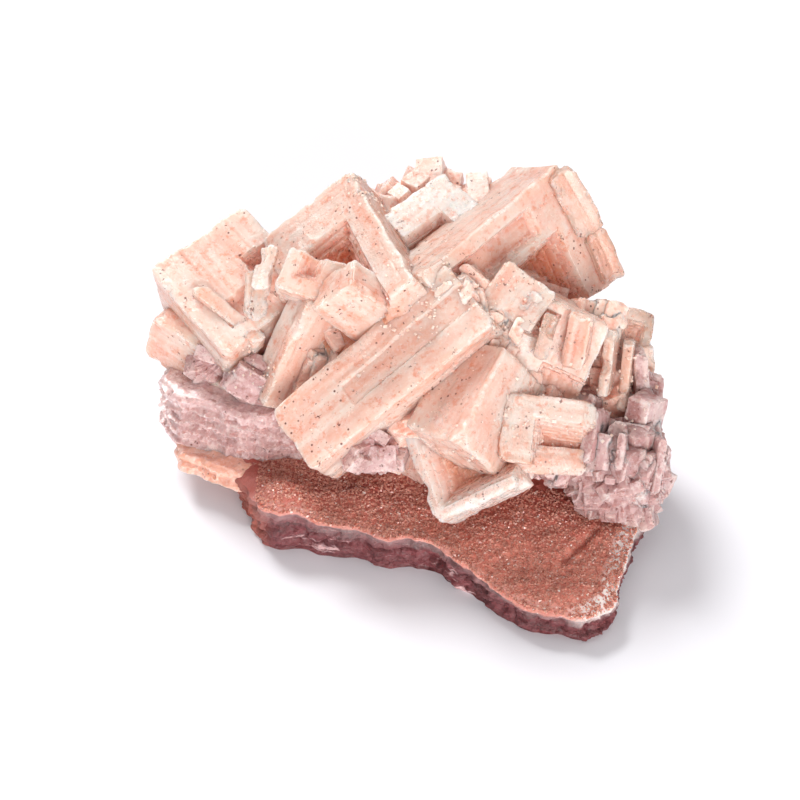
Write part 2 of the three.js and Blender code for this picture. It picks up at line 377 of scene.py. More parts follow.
def growth_relief(points, half, lines, seed):
    """How far growth layers raise or lower each point of a block along X, Y and Z. On faces that hold the
    block's long direction the relief depends on the place across it, cut into ledges; on its end faces it
    depends on both places, cut into bundles of rods of unequal length."""
    long_axis = {"x": 0, "y": 1, "rim": 2}[lines]
    shift = np.zeros_like(points)
    for axis in range(3):
        others = [k for k in range(3) if k != axis]
        side = np.sign(points[:, axis])
        near = np.clip((np.abs(points[:, axis]) / half[axis] - 0.86) / 0.14, 0.0, 1.0)
        near = near * near * (3.0 - 2.0 * near)
        base = np.stack([points[:, others[0]], points[:, others[1]], side * 20.0], axis=-1)
        if axis == long_axis and lines != "rim":
            rods = ledges(lattice_noise(base, 2.6, seed + axis), 3.0, 0.75) * ROD_HEIGHTS[0]
            relief = rods + ledges(lattice_noise(base, 1.1, seed + 9), 2.0, 0.6) * ROD_HEIGHTS[1]
        else:
            run = long_axis if long_axis in others else others[0]
            scale = np.ones(3)
            scale[others.index(run)] = 1.0 / 14.0 if lines != "rim" else 0.12
            drawn = base * scale
            wide = ledges(lattice_noise(drawn, 3.4, seed + 20 + axis), 3.0, 0.75) * LAYER_HEIGHTS[0]
            middle = ledges(lattice_noise(drawn, 1.3, seed + 30 + axis), 3.0, 0.5) * LAYER_HEIGHTS[1]
            relief = wide + middle + LAYER_HEIGHTS[2] * lattice_noise(drawn, 0.55, seed + 41)
            relief = relief * (0.5 if lines == "rim" and axis == 2 else 1.0)
        shift[:, axis] = side * near * relief
    return shift


def growth_bands(points, half, lines, seed):
    """How clear or cloudy each growth layer is, from 0 to 1: random values read from the place across the
    crystal's long direction, or from the distance in from the rim of a hopper."""
    drawn = points.copy()
    if lines == "rim":
        inward = np.minimum(half[0] - np.abs(points[:, 0]), half[1] - np.abs(points[:, 1]))
        drawn = np.stack([inward * 1.3, points[:, 2], points[:, 0] * 0.05 + points[:, 1] * 0.05], axis=-1)
    else:
        drawn[:, {"x": 0, "y": 1}[lines]] /= 16.0
    wide = lattice_noise(drawn, 2.2, seed + 61)
    narrow = lattice_noise(drawn, 0.7, seed + 62)
    return np.clip(0.5 + 0.55 * wide + 0.45 * narrow, 0.0, 1.0)


def crystal_surface(size, pits, lines, corner, seed, cell):
    """A block of halite as one closed surface. Its showing face is a grid over x and y at the height left
    by its pits, its far face is the same grid flat, and its sides carry the outline down between them in
    levels. Growth layers, worn edges, chips and a slow warp are then added."""
    half = np.array(size) / 2.0
    nx, ny, nz = (max(4, int(length / cell)) for length in size)
    x, y = np.meshgrid(np.linspace(-half[0], half[0], nx + 1), np.linspace(-half[1], half[1], ny + 1))
    depth = pit_depth(x, y, half, pits, seed)
    showing = np.stack([x, y, half[2] - depth], axis=-1)
    far = np.stack([x, y, np.full_like(x, -half[2])], axis=-1)
    count = x.size
    index = np.arange(count).reshape(x.shape)
    loop = outer_loop(index)
    rim = showing.reshape(-1, 3)[loop]
    level = np.linspace(0.0, 1.0, nz + 1)[1:-1, None]
    height = rim[None, :, 2] * (1 - level) - half[2] * level
    walls = carried_down(rim, height)
    points = np.concatenate([showing.reshape(-1, 3), walls.reshape(-1, 3), far.reshape(-1, 3)])

    wall_index = count + np.arange(height.size).reshape(height.shape)
    far_index = count + height.size + index
    rings = np.concatenate([loop[None, :], wall_index, (count + height.size + loop)[None, :]])
    rings = np.concatenate([rings, rings[:, :1]], axis=1)
    faces = [grid_faces(index), grid_faces(rings[::-1]), grid_faces(far_index)[:, ::-1]]

    sunk = np.broadcast_to(depth.ravel()[loop] * (1 - level), height.shape)
    pit = np.concatenate([depth.ravel(), sunk.ravel(), np.zeros(count)])
    step = np.concatenate([step_edges(depth).ravel(), np.zeros(height.size + count)])

    # Relief is read where the block would be without its pits, so a pit's floor keeps the face's growth
    # lines.
    whole = points + np.stack([np.zeros_like(pit), np.zeros_like(pit), pit], axis=-1)
    shift = growth_relief(whole, half, lines, seed)

    # Worn edges: the radius wanders along each edge.
    wear = np.clip(0.45 + 0.65 * lattice_noise(points + seed * 31.0, 2.6, seed), 0.08, 1.5)
    plan = points * np.array([1.0, 1.0, 0.0])
    plan = rounded(plan, np.array([half[0], half[1], 1.0]), np.full(len(points), corner))
    points = np.concatenate([plan[:, :2], points[:, 2:]], axis=1)
    worn = rounded(points, half, wear)
    edge = edge_closeness(worn, half, 1.0)
    band = growth_bands(whole, half, lines, seed)
    points, scar = chip_edges(worn + shift, half, seed, CHIPS)

    warp = np.stack([rough_noise(points + seed * 13.0, 12.0, seed + k, 2) for k in (50, 60, 70)], axis=-1)
    crumple = np.stack([lattice_noise(points + seed * 5.0, 1.6, seed + k) for k in (81, 82, 83)], axis=-1)
    points = points + WARP * warp + CRUMPLE * crumple
    return points, faces, {"pit": pit, "edge": np.maximum(edge, step), "scar": scar, "band": band}


def step_edges(depth):
    """Where the depth of neighbouring grid points differs: one at the lip and foot of each terrace."""
    padded = np.pad(depth, 1, mode="edge")
    across = np.abs(padded[1:-1, 2:] - padded[1:-1, :-2])
    along = np.abs(padded[2:, 1:-1] - padded[:-2, 1:-1])
    return np.clip(across + along, 0.0, 1.0)


def edge_closeness(points, half, width):
    """One on a block's edges, falling to zero a width away from them: the second largest of how close a
    point is to each pair of faces."""
    close = 1.0 - np.clip((half - np.abs(points)) / width, 0.0, 1.0)
    return np.sort(close, axis=-1)[:, 1]


def chip_edges(points, half, seed, count):
    """Small shell-shaped chips along a block's edges: inside each chip's ball, points move inward by the
    depth times one less the squared share of the radius."""
    rng = np.random.default_rng(seed + 900)
    scar = np.zeros(len(points))
    for _ in range(count):
        axis = rng.integers(3)
        middle = np.sign(rng.uniform(-1, 1, 3)) * half
        middle[axis] *= rng.uniform(-1, 1)
        radius = rng.uniform(0.7, 2.2)
        share = np.clip(1.0 - ((points - middle) ** 2).sum(axis=1) / radius**2, 0.0, 1.0)
        inward = -middle / np.linalg.norm(middle)
        points = points + share[:, None] * inward * radius * 0.45
        scar = np.maximum(scar, share)
    return points, scar


def crystal_piece(name, spec, seed, material):
    """One crystal, worked out in its own frame, then turned and moved to its place in the cluster."""
    cell = FINE_CELL if max(spec["size"]) < SMALL_CRYSTAL else CELL
    made = crystal_surface(spec["size"], spec["pits"], spec["lines"], spec["corner"], seed, cell)
    points, faces, values = made
    placed = points @ turn_matrix(spec["turn"]).T + np.array(spec["at"])
    # Frost and painted highlight: edges, terrace lips, chips and random patches are whitened, partly as frost
    # and partly as painted highlight, and crystals given more than 0.6 are whitened all over.
    patch = np.clip(rough_noise(placed, 6.0, seed + 3) * 2.2 - 0.35, 0.0, 1.0)
    worn = np.clip(rough_noise(placed, 3.0, seed + 4) * 1.6 + 0.5, 0.0, 1.0)
    all_over = max(0.0, spec["frost_and_highlight"] - 0.6)
    frost_and_highlight = values["edge"] * worn * 0.7 + values["scar"] * 0.6 + patch * spec["frost_and_highlight"] + all_over
    # Painted shade: the deeper a pit sinks, the more of the deep colour it takes.
    marks = {"recess_shade": values["pit"] / 4.5, "frost_and_highlight": frost_and_highlight, "band": values["band"]}
    make_piece(name, placed, faces, marks, material, "crystal_cluster", 40)
    return placed


def laminated_mass(name, spec, seed, material):
    """A stack of thin blocks, each worked out as a crystal and turned a little off the common direction,
    joined in one piece."""
    rng = np.random.default_rng(seed)
    all_points, all_faces, all_marks, start = [], [], [], 0
    for number in range(spec["count"]):
        size = [rng.uniform(*spec[key]) for key in ("length", "width", "depth")]
        turn = np.array(spec["turn"]) + rng.uniform(-spec["sway"], spec["sway"], 3)
        place = np.array(spec["at"]) + rng.uniform(-1, 1, 3) * np.array(spec["reach"]) * 0.8
        made = crystal_surface(size, [], "x", rng.uniform(0.5, 1.4), seed + 13 * number, PLATE_CELL)
        points, faces, values = made
        all_points.append(points @ turn_matrix(turn).T + place)
        all_faces += [block + start for block in faces]
        # Frost and painted highlight: each plate's edges and chips are whitened.
        frost_and_highlight = values["edge"] * 0.6 + values["scar"] * 0.6
        all_marks.append(np.stack([values["pit"], frost_and_highlight, values["band"]]))
        start += len(points)
    points, marks = np.concatenate(all_points), np.concatenate(all_marks, axis=1)
    points[:, 2] = np.maximum(points[:, 2], SLAB_THICKNESS - 3.5)
    marks = {"recess_shade": marks[0], "frost_and_highlight": marks[1], "band": marks[2]}
    make_piece(name, points, all_faces, marks, material, "crystal_cluster", 40)
    return points


# ---- druse ----


def sphere_directions(rows, columns):
    """Unit directions on a grid of heights and bearings, with one point at each pole, and the grid's
    faces."""
    tilt = np.linspace(0.0, math.pi, rows + 1)[1:-1]
    bearing = np.linspace(0.0, 2.0 * math.pi, columns, endpoint=False)
    t, b = np.meshgrid(tilt, bearing, indexing="ij")
    body = np.stack([np.sin(t) * np.cos(b), np.sin(t) * np.sin(b), np.cos(t)], axis=-1).reshape(-1, 3)
    directions = np.concatenate([body, [[0.0, 0.0, 1.0], [0.0, 0.0, -1.0]]])
    index = np.arange(len(body)).reshape(rows - 1, columns)
    index = np.concatenate([index, index[:, :1]], axis=1)
    top, bottom = len(body), len(body) + 1
    cap = np.stack([np.full(columns, top), index[0, :-1], index[0, 1:]], axis=-1)
    foot = np.stack([np.full(columns, bottom), index[-1, 1:], index[-1, :-1]], axis=-1)
    return directions, [grid_faces(index)[:, ::-1], cap, foot]


def druse_lump(reach, cubes, cube, seed, rows=125):
    """A lump of intergrown cubes seen from its middle: along each direction the surface lies where a ray
    from the middle leaves the last of the cubes, or the smooth lump if that is further out."""
    rng = np.random.default_rng(seed)
    directions, faces = sphere_directions(rows, rows * 2)
    reach = np.array(reach, float)
    smooth = 1.0 / np.linalg.norm(directions / reach, axis=1)
    swell = 1.0 + 0.16 * rough_noise(directions * 9.0, 6.0, seed + 5, 2)
    surface = smooth * swell * (0.86 + 0.05 * rough_noise(directions * 9.0, 1.5, seed))
    for _ in range(cubes):
        heading = rng.normal(size=3)
        heading /= np.linalg.norm(heading)
        half = rng.uniform(*cube) * rng.uniform(0.45, 1.3, 3)
        bound = heading / np.linalg.norm(heading / reach)
        bound = bound * (1.0 + 0.16 * rough_noise(heading * 9.0, 6.0, seed + 5, 2))
        middle = bound * (1.0 - half.max() * rng.uniform(0.4, 1.2) / np.linalg.norm(bound))
        near = directions @ heading > math.cos(min(1.5, 2.6 * half.max() / np.linalg.norm(middle)))
        cube_axes = turn_matrix(rng.uniform(0, 90, 3))
        origin = -middle @ cube_axes
        ray = directions[near] @ cube_axes
        ray = np.where(np.abs(ray) < 1e-6, 1e-6, ray)
        enter = np.minimum((-half - origin) / ray, (half - origin) / ray).max(axis=1)
        leave = np.maximum((-half - origin) / ray, (half - origin) / ray).min(axis=1)
        hit = np.where(leave > np.maximum(enter, 0.0), leave, 0.0)
        surface[near] = np.maximum(surface[near], hit)
    relief = surface / smooth
    points = directions * surface[:, None]
    return points, faces, relief


def druse_piece(name, spec, seed, material, floor):
    """One lump of druse in its place, flattened where it meets the crust below it."""
    points, faces, relief = druse_lump(spec["reach"], spec["cubes"], spec["cube"], seed)
    placed = points + np.array(spec["at"])
    placed[:, 2] = np.maximum(placed[:, 2], floor)
    placed = placed + 0.06 * lattice_noise(placed, 0.8, seed)[:, None]
    # Frost and painted highlight: the cubes that stand furthest out of the lump are whitened.
    frost_and_highlight = np.clip((relief - 0.98) * 4.0, 0.0, 1.0) * np.clip(rough_noise(placed, 4.0, seed) + 0.6, 0.0, 1.0)
    band = np.clip(0.5 + 0.5 * rough_noise(placed, 1.6, seed + 8, 2), 0.0, 1.0)
    # Painted shade: crevices between the cubes, where the surface lies inside the smooth lump, take the deep
    # colour.
    marks = {"recess_shade": np.clip((0.95 - relief) * 3.0, 0.0, 1.0), "frost_and_highlight": frost_and_highlight, "band": band}
    return make_piece(name, placed, faces, marks, material, "crystal_cluster")


CUBE_CORNERS = np.array(list(itertools.product((-1.0, 1.0), repeat=3)))
CUBE_FACES = np.array([[0, 1, 3, 2], [4, 6, 7, 5], [0, 4, 5, 1], [2, 3, 7, 6], [0, 2, 6, 4], [1, 5, 7, 3]])


def scatter_cubes(middles, halves, seed):
    """Small cubes, each turned at random: the eight corners of a cube, scaled, turned and moved, for all
    the cubes at once."""
    rng = np.random.default_rng(seed)
    count = len(middles)
    turns = np.linalg.qr(rng.normal(size=(count, 3, 3)))[0]
    turns = turns * np.sign(np.linalg.det(turns))[:, None, None]
    corners = CUBE_CORNERS[None, :, :] * halves[:, None, :]
    points = np.einsum("nij,nkj->nki", turns, corners) + middles[:, None, :]
    faces = CUBE_FACES[None, :, :] + 8 * np.arange(count)[:, None, None]
    return points.reshape(-1, 3), [faces.reshape(-1, 4)]


def crumb_patch(name, spec, seed, material, surfaces):
    """Broken salt crumbs, stuck on the crystals: cubes whose middles are points of the crystals' own
    surfaces near a place, taken at random and more often near its middle."""
    rng = np.random.default_rng(seed)
    share = (surfaces - np.array(spec["at"])) / np.array(spec["spread"])
    clump = np.clip(rough_noise(surfaces, 2.4, seed) + 0.05, 0.0, 1.0)
    chance = np.exp(-0.5 * (share**2).sum(axis=1)) * clump
    picked = rng.choice(len(surfaces), spec["count"], p=chance / chance.sum())
    widths = rng.uniform(*spec["size"], size=(spec["count"], 1))
    halves = widths * rng.uniform(0.35, 1.0, (spec["count"], 3)) / 2.0
    points, faces = scatter_cubes(surfaces[picked], halves, seed)
    even = np.full(len(points), 0.5)
    # Crumbs: an even half of frost and painted highlight, and no painted shade.
    marks = {"recess_shade": np.zeros_like(even), "frost_and_highlight": even, "band": even}
    return make_piece(name, points, faces, marks, material, "crystal_cluster")


# ---- crust ----


def smooth_outline(corners, count, seed, wobble):
    """A closed outline through the corners, evenly spaced, with its bends eased and a broken wobble
    added."""
    ring = np.array(list(corners) + [corners[0]], float)
    lengths = np.concatenate([[0.0], np.cumsum(np.linalg.norm(np.diff(ring, axis=0), axis=1))])
    travel = np.linspace(0.0, lengths[-1], count, endpoint=False)
    line = np.stack([np.interp(travel, lengths, ring[:, k]) for k in (0, 1)], axis=-1)
    for _ in range(6):
        line = (np.roll(line, 1, axis=0) + 2.0 * line + np.roll(line, -1, axis=0)) / 4.0
    deep = np.concatenate([line, np.zeros((count, 1))], axis=1)
    ahead = np.roll(line, -1, axis=0) - np.roll(line, 1, axis=0)
    outward = np.stack([ahead[:, 1], -ahead[:, 0]], axis=-1)
    outward /= np.linalg.norm(outward, axis=1)[:, None]
    ragged = wobble * rough_noise(deep, 5.5, seed, 3)
    return line + outward * ragged[:, None], outward


def crust_unevenness(flat, seed):
    """How uneven a crust's top is: fine noise for its grains and broad noise for its swells."""
    return 0.32 * rough_noise(flat, 1.5, seed + 1, 3) + rough_noise(flat, 9.0, seed + 2, 2)


def level_top(height):
    """A top that lies level at a height, as a function of x and y."""
    return lambda x, y: np.full(np.shape(x), height)


def crust_layer(outline, bottom, top_height, seed, rings, count, wobble, layers=22, cracks=0.6):
    """A layer of crust as one closed surface: its top is the outline drawn in toward the middle ring by
    ring, its broken side is the outline carried down in levels, pushed out and in by foliated noise and
    cut by level cracks where the height, bent by noise, comes near a whole number of layers. Its
    underside is flat."""
    line, outward = smooth_outline(outline, count, seed, wobble)
    middle = line.mean(axis=0)
    share = np.linspace(0.0, 1.0, rings)[1:, None, None]
    plan = middle + (line[None] - middle) * share
    flat = np.concatenate([plan, np.zeros(plan.shape[:2] + (1,))], axis=-1)
    edge_fade = np.clip((1.0 - share[..., 0]) * 26.0, 0.0, 1.0)
    height = top_height(plan[..., 0], plan[..., 1]) + crust_unevenness(flat, seed) - 0.5 * (1.0 - edge_fade)
    top = np.concatenate([plan, height[..., None]], axis=-1)

    level = np.linspace(0.0, 1.0, layers + 2)[1:, None]
    rim_height = height[-1][None]
    drop = rim_height * (1.0 - level) + bottom * level
    wall = carried_down(line, drop)
    sheet = wall * np.array([0.35, 0.35, 2.4])
    relief = 1.3 * rough_noise(sheet, 2.4, seed + 3, 4) + 1.3 * rough_noise(wall, 4.0, seed + 4, 4)
    relief = ledges(relief, 1.6, 0.6) + 1.1 * rough_noise(wall, 1.3, seed + 6, 3)
    layer = wall[..., 2] / 2.6 + 0.9 * rough_noise(wall, 9.0, seed + 7, 2)
    relief = relief - cracks * np.exp(-(((layer - np.round(layer)) / 0.13) ** 2))
    relief = relief * np.sin(math.pi * np.clip(level, 0.0, 1.0)) ** 0.35 - 0.9 * level**2
    wall[..., :2] += outward[None] * relief[..., None]

    top_points = top.reshape(-1, 3)
    ends = [[*middle, top_height(*middle)], [*middle, bottom]]
    points = np.concatenate([top_points, wall.reshape(-1, 3), ends])
    top_index = np.arange(len(top_points)).reshape(rings - 1, count)
    wall_index = len(top_points) + np.arange(wall.shape[0] * count).reshape(wall.shape[0], count)
    index = np.concatenate([top_index, wall_index])
    index = np.concatenate([index, index[:, :1]], axis=1)
    peak, foot = len(points) - 2, len(points) - 1
    cap = np.stack([np.full(count, peak), index[0, :-1], index[0, 1:]], axis=-1)
    base = np.stack([np.full(count, foot), index[-1, 1:], index[-1, :-1]], axis=-1)
    faces = [grid_faces(index)[:, ::-1], cap, base]
    is_wall = np.concatenate([np.zeros(len(top_points)), np.ones(wall.shape[0] * count), [0.0, 1.0]])
    rim_row = np.repeat(np.clip((share[:, 0, 0] - 0.9) / 0.03, 0.0, 1.0), count)
    rim = np.concatenate([rim_row, np.repeat(np.clip(1.0 - level[:, 0] * 3.0, 0.0, 1.0), count), [0.0, 0.0]])
    rim = rim * np.clip((points[:, 0] - 30.0) / 6.0, 0.15, 1.0)
    rim = rim * np.clip((-8.0 - points[:, 1]) / 6.0, 0.15, 1.0)
    return points, faces, {"wall": is_wall, "rim": rim}


def slab_height(x, y):
    """The slab's top: level, dipping toward the front right, with a rounded swelling at its front left
    corner and a groove near its right end. The groove sinks by a bell curve of the distance from its
    line."""
    level = SLAB_THICKNESS - SLAB_DIP * np.maximum(0.0, x - y)
    swelling = 4.2 * np.exp(-(((x + 26.5) / 6.0) ** 2) - ((y + 11.5) / 5.0) ** 2)
    along = np.clip(((x - 38.7) * -7.0 + (y + 16.8) * -8.4) / 119.6, 0.0, 1.0)
    off = np.hypot(x - 38.7 + 7.0 * along, y + 16.8 + 8.4 * along)
    return level + swelling - 1.3 * np.exp(-((off / 0.8) ** 2))


def grain_sprinkle(name, count, seed, material, near, far, size, line):
    """Loose salt grains that lie on the slab's top inside its outline: cubes at random places of a box,
    kept where the place is inside the outline by the crossing-number rule."""
    rng = np.random.default_rng(seed)
    place = rng.uniform(near, far, size=(count, 2))
    a, b = line, np.roll(line, -1, axis=0)
    crosses = (a[None, :, 1] > place[:, None, 1]) != (b[None, :, 1] > place[:, None, 1])
    rise = np.where(np.abs(b[:, 1] - a[:, 1]) < 1e-9, 1e-9, b[:, 1] - a[:, 1])
    where = a[None, :, 0] + (place[:, None, 1] - a[None, :, 1]) / rise * (b - a)[None, :, 0]
    inside = (crosses & (place[:, None, 0] < where)).sum(axis=1) % 2 == 1
    place = place[inside]
    height = slab_height(place[:, 0], place[:, 1])
    flat = np.concatenate([place, np.zeros((len(place), 1))], axis=1)
    height = height + crust_unevenness(flat, SLAB_SEED)
    middles = np.concatenate([place, height[:, None]], axis=1)
    halves = rng.uniform(*size, size=(len(middles), 1)) * rng.uniform(0.6, 1.0, (len(middles), 3)) / 2.0
    points, faces = scatter_cubes(middles, halves, seed)
    tone = np.repeat(rng.uniform(0, 1, len(middles)), 8)
    return make_piece(name, points, faces, {"tone": tone}, material, "crust_slab")


# ---- materials ----


class Nodes:
    """A node material, with short calls for the nodes that the finishes below share."""

    def __init__(self, name):
        self.material = bpy.data.materials.new(name)
        self.material.use_nodes = True
        self.tree = self.material.node_tree
        self.shader = self.tree.nodes["Principled BSDF"]
        self.output = self.tree.nodes["Material Output"]
        self.place = self.add("ShaderNodeTexCoord").outputs["Object"]

    def add(self, kind, **settings):
        node = self.tree.nodes.new(kind)
        for key, value in settings.items():
            setattr(node, key, value)
        return node

    def link(self, source, target):
        self.tree.links.new(source, target)

    def noise(self, per_metre, detail=3.0, rough=0.55, stretch=None):
        """Noise with so many features a metre, on Object coordinates, stretched if a scale is given."""
        node = self.add("ShaderNodeTexNoise")
        node.inputs["Scale"].default_value = per_metre
        node.inputs["Detail"].default_value = detail
        node.inputs["Roughness"].default_value = rough
        source = self.place
        if stretch is not None:
            mapping = self.add("ShaderNodeMapping")
            mapping.inputs["Scale"].default_value = stretch
            self.link(self.place, mapping.inputs["Vector"])
            source = mapping.outputs["Vector"]
        self.link(source, node.inputs["Vector"])
        return node.outputs["Fac"]

    def spots(self, per_metre, radius, share):
        """Round spots: Voronoi cells whose middle is nearer than the radius, kept in a share of the
        cells."""
        cells = self.add("ShaderNodeTexVoronoi")
        cells.inputs["Scale"].default_value = per_metre
        self.link(self.place, cells.inputs["Vector"])
        near = self.ramp(cells.outputs["Distance"], radius, radius * 0.55)
        parts = self.add("ShaderNodeSeparateColor")
        self.link(cells.outputs["Color"], parts.inputs["Color"])
        kept = self.ramp(parts.outputs["Red"], share, share * 0.98)
        return self.math("MULTIPLY", near, kept)

    def ramp(self, value, start, end):
        """The value carried from the range start to end onto 0 to 1, and held there."""
        node = self.add("ShaderNodeMapRange")
        node.inputs["From Min"].default_value = start
        node.inputs["From Max"].default_value = end
        self.link(value, node.inputs["Value"])
        return node.outputs["Result"]

    def math(self, operation, first, second):
        node = self.add("ShaderNodeMath", operation=operation)
        for socket, value in zip(node.inputs, (first, second)):
            if isinstance(value, (int, float)):
                socket.default_value = value
            else:
                self.link(value, socket)
        return node.outputs["Value"]

    def mark(self, label):
        return self.add("ShaderNodeAttribute", attribute_name=label).outputs["Fac"]

    def mix(self, share, first, second):
        """Two colours blended by a share. Sockets 0, 6 and 7 are a colour mix's factor and its two
        colours."""
        node = self.add("ShaderNodeMix", data_type="RGBA")
        self.feed(node.inputs[0], share)
        self.feed(node.inputs[6], first)
        self.feed(node.inputs[7], second)
        return node.outputs[2]

    def feed(self, socket, value):
        if isinstance(value, tuple):
            socket.default_value = (*value, 1.0)
        elif isinstance(value, (int, float)):
            socket.default_value = value
        else:
            self.link(value, socket)

    def bump(self, height, depth, strength=1.0, under=None):
        node = self.add("ShaderNodeBump")
        node.inputs["Strength"].default_value = strength
        node.inputs["Distance"].default_value = depth
        self.link(height, node.inputs["Height"])
        if under is not None:
            self.link(under, node.inputs["Normal"])
        return node.outputs["Normal"]

    def set(self, **values):
        """Plain values set straight on the shader's own sockets."""
        for label, value in values.items():
            self.shader.inputs[label.replace("_", " ")].default_value = value


def halite_finish(name, pale, peach, deep, density, milky, clear):
    """Clear to milky halite: seen through by plain transmission, tinted by absorption, clouded inside,
    with dark specks of clay, white edges that are partly frost and partly painted highlight, and painted
    shade in the pits and crevices, in the deep orange colour."""
    n = Nodes(name)
    cloud = n.ramp(n.noise(75.0, 5.0, 0.62), 0.36, 0.64)
    colour = n.mix(cloud, pale, peach)
    band = n.ramp(n.mark("band"), 0.45, 0.95)
    colour = n.mix(n.math("MULTIPLY", band, 0.34), colour, deep)
    depth = n.ramp(n.noise(130.0, 4.0, 0.6), 0.54, 0.68)
    colour = n.mix(n.math("MULTIPLY", depth, 0.3), colour, deep)
    veils = n.ramp(n.noise(210.0, 6.0, 0.7), 0.55, 0.66)
    colour = n.mix(n.math("MULTIPLY", veils, 0.4), colour, (0.99, 0.88, 0.83))
    veil = n.ramp(n.math("MULTIPLY", n.mark("band"), n.noise(240.0, 2.0)), 0.16, 0.06)
    colour = n.mix(n.math("MULTIPLY", veil, 0.3), colour, (0.98, 0.86, 0.79))
    # Frost and painted highlight: the marked edges and patches turn near white and rougher.
    frost_and_highlight = n.math("MULTIPLY", n.mark("frost_and_highlight"), n.ramp(n.noise(700.0, 2.0), 0.3, 0.55))
    colour = n.mix(n.math("MULTIPLY", frost_and_highlight, 0.65), colour, (0.99, 0.91, 0.87))
    # Painted shade: pits and crevices take the deep orange colour.
    colour = n.mix(n.math("MULTIPLY", n.mark("recess_shade"), 0.85), colour, deep)
    hollows = n.ramp(n.noise(520.0, 5.0, 0.7), 0.46, 0.36)
    colour = n.mix(n.math("MULTIPLY", hollows, 0.55), colour, deep)
    flecks = n.ramp(n.noise(1100.0, 5.0, 0.75), 0.52, 0.62)
    colour = n.mix(n.math("MULTIPLY", flecks, 0.32), colour, (1.0, 0.93, 0.9))
    crowd = n.ramp(n.noise(90.0, 4.0, 0.65), 0.45, 0.53)
    ragged = n.ramp(n.noise(800.0, 4.0, 0.7), 0.635, 0.665)
    specks = n.math("MAXIMUM", ragged, n.spots(700.0, 0.22, 0.3))
    colour = n.mix(n.math("MULTIPLY", n.math("MULTIPLY", specks, crowd), 0.9), colour, (0.13, 0.025, 0.015))
    n.link(colour, n.shader.inputs["Base Color"])
    rough = n.math("ADD", n.math("MULTIPLY", frost_and_highlight, 0.3), n.math("MULTIPLY", n.noise(900.0, 2.0), 0.24))
    n.link(n.math("ADD", rough, 0.08), n.shader.inputs["Roughness"])
    lines = n.bump(n.noise(1500.0, 4.0, 0.7), 0.0002, 0.75)
    lines = n.bump(n.mark("band"), 0.0004, 0.4, lines)
    n.link(n.bump(n.noise(420.0, 4.0, 0.65), 0.0005, 0.6, lines), n.shader.inputs["Normal"])
    n.set(IOR=1.544, Transmission_Weight=clear, Subsurface_Weight=1.0, Subsurface_Scale=milky)
    n.shader.inputs["Subsurface Radius"].default_value = (1.0, 0.88, 0.8)
    absorb = n.add("ShaderNodeVolumeAbsorption")
    absorb.inputs["Color"].default_value = (0.99, 0.62, 0.42, 1.0)
    absorb.inputs["Density"].default_value = density
    n.link(absorb.outputs["Volume"], n.output.inputs["Volume"])
    return n.material


def crust_finish(name):
    """Granular salt crust: brick-red grains with paler ones among them on top, darkened with painted shade
    toward the back under the crystals; mauve foliated breaks with pale veins on the sides, their own
    darker colour made darker still with painted shade; and a whitish rim."""
    n = Nodes(name)
    grain = n.ramp(n.noise(1500.0, 2.0, 0.7), 0.35, 0.68)
    patch = n.ramp(n.noise(110.0, 3.0), 0.36, 0.64)
    top = n.mix(patch, (0.6, 0.15, 0.105), (0.78, 0.27, 0.2))
    top = n.mix(n.math("MULTIPLY", grain, 0.5), top, (0.8, 0.38, 0.3))
    top = n.mix(n.spots(900.0, 0.2, 0.12), top, (0.93, 0.75, 0.66))
    band = n.ramp(n.noise(260.0, 4.0, 0.65, (0.5, 0.5, 2.2)), 0.36, 0.66)
    # Painted shade: the sides' mauve is made darker than the crust's own colour, standing in for the shade on
    # the sides.
    side = n.mix(band, (0.06, 0.008, 0.01), (0.18, 0.036, 0.042))
    side = n.mix(n.math("MULTIPLY", grain, 0.22), side, (0.45, 0.17, 0.18))
    vein = n.ramp(n.noise(190.0, 5.0, 0.7, (0.45, 0.45, 2.4)), 0.6, 0.68)
    side = n.mix(n.math("MULTIPLY", vein, 0.8), side, (0.8, 0.52, 0.52))
    spot = n.add("ShaderNodeSeparateXYZ")
    n.link(n.place, spot.inputs["Vector"])
    # Painted shade: toward the back, under the crystals, the top darkens to maroon where their shade falls.
    top = n.mix(n.math("MULTIPLY", n.ramp(spot.outputs["Y"], -0.028, -0.012), 0.8), top, (0.34, 0.06, 0.045))
    side = n.mix(n.math("MULTIPLY", n.ramp(spot.outputs["X"], -0.027, -0.031), 0.8), side, (0.36, 0.1, 0.07))
    colour = n.mix(n.mark("wall"), top, side)
    pale = n.math("MULTIPLY", n.mark("rim"), n.ramp(n.noise(200.0, 4.0, 0.6), 0.3, 0.42))
    colour = n.mix(n.math("MULTIPLY", pale, 0.95), colour, (0.98, 0.9, 0.87))
    n.link(colour, n.shader.inputs["Base Color"])
    n.link(n.ramp(grain, -1.4, 1.8), n.shader.inputs["Roughness"])
    coarse = n.bump(n.noise(700.0, 3.0, 0.7), 0.0006, 0.7)
    n.link(n.bump(n.noise(2200.0, 2.0), 0.0002, 0.6, coarse), n.shader.inputs["Normal"])
    n.set(Subsurface_Weight=0.25, Subsurface_Scale=0.0015, IOR=1.52)
    n.shader.inputs["Subsurface Radius"].default_value = (1.0, 0.45, 0.35)
    return n.material


